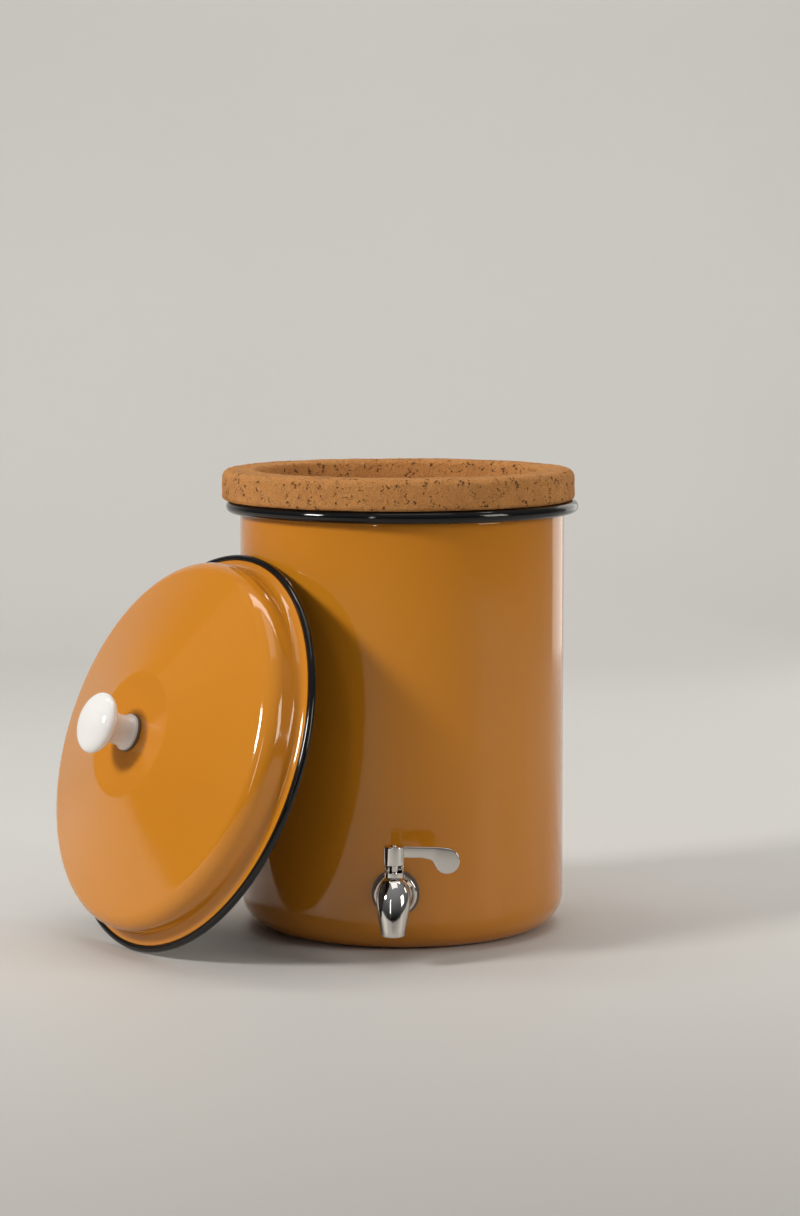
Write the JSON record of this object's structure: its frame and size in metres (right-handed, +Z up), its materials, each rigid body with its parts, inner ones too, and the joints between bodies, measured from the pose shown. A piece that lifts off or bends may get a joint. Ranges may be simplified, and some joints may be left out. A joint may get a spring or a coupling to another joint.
{
  "type": "gravity water filter with tap",
  "caption": "Countertop gravity water filter: enamelled pot with rolled rim, hanging clay filter bowl, domed lid with knob leaning beside it, and a quarter-turn lever tap.",
  "frame": {"origin": "middle of the pot's flat base, on the surface it stands on", "axes": "+Z up along the pot's axis; the tap points to -Y and its closed lever to +X"},
  "size_m": [0.4201, 0.3693, 0.3685],
  "materials": {
    "orange_enamel": "gloss",
    "black_enamel": "gloss",
    "fired_clay": "matte",
    "white_porcelain": "gloss",
    "grey_silicone": "matte",
    "stainless": "polished",
    "brass": "satin",
    "white_plastic": "satin"
  },
  "bodies": {
    "pot": {"pot_shell": "orange_enamel", "pot_rim_bead": "black_enamel", "tap_gasket_outer": "grey_silicone", "tap_flange": "stainless", "tap_body": "stainless", "tap_nozzle": "stainless", "tap_gland": "stainless", "seat_rear": "white_plastic", "seat_front": "white_plastic", "tap_gasket_inner": "grey_silicone", "tap_washer": "stainless", "tap_lock_nut": "stainless"},
    "lever": {"tap_lever": "stainless", "lever_screw": "stainless", "valve_plug": "stainless", "stem_o_rings": "grey_silicone", "stop_pin": "stainless"},
    "filter": {"filter_bowl": "fired_clay"},
    "lid": {"lid_shell": "orange_enamel", "lid_rim_bead": "black_enamel", "lid_knob": "white_porcelain", "knob_gasket": "grey_silicone", "knob_insert": "brass", "knob_screw": "stainless", "knob_washer": "stainless"}
  },
  "joints": [
    {"name": "tap_lever_turn", "type": "hinge", "parent": "pot", "child": "lever", "pos_m": [0, -0.165, 0.08], "axis": [0, 0, -1], "range_deg": [0, 90]},
    {"name": "filter_lift", "type": "slide", "parent": "pot", "child": "filter", "axis": [0, 0, 1], "range_m": [0, 0.26]},
    {"name": "lid_lift", "type": "slide", "parent": "pot", "child": "lid", "axis": [-0.7597, -0.5581, 0.3338], "range_m": [0, 0.25]}
  ]
}
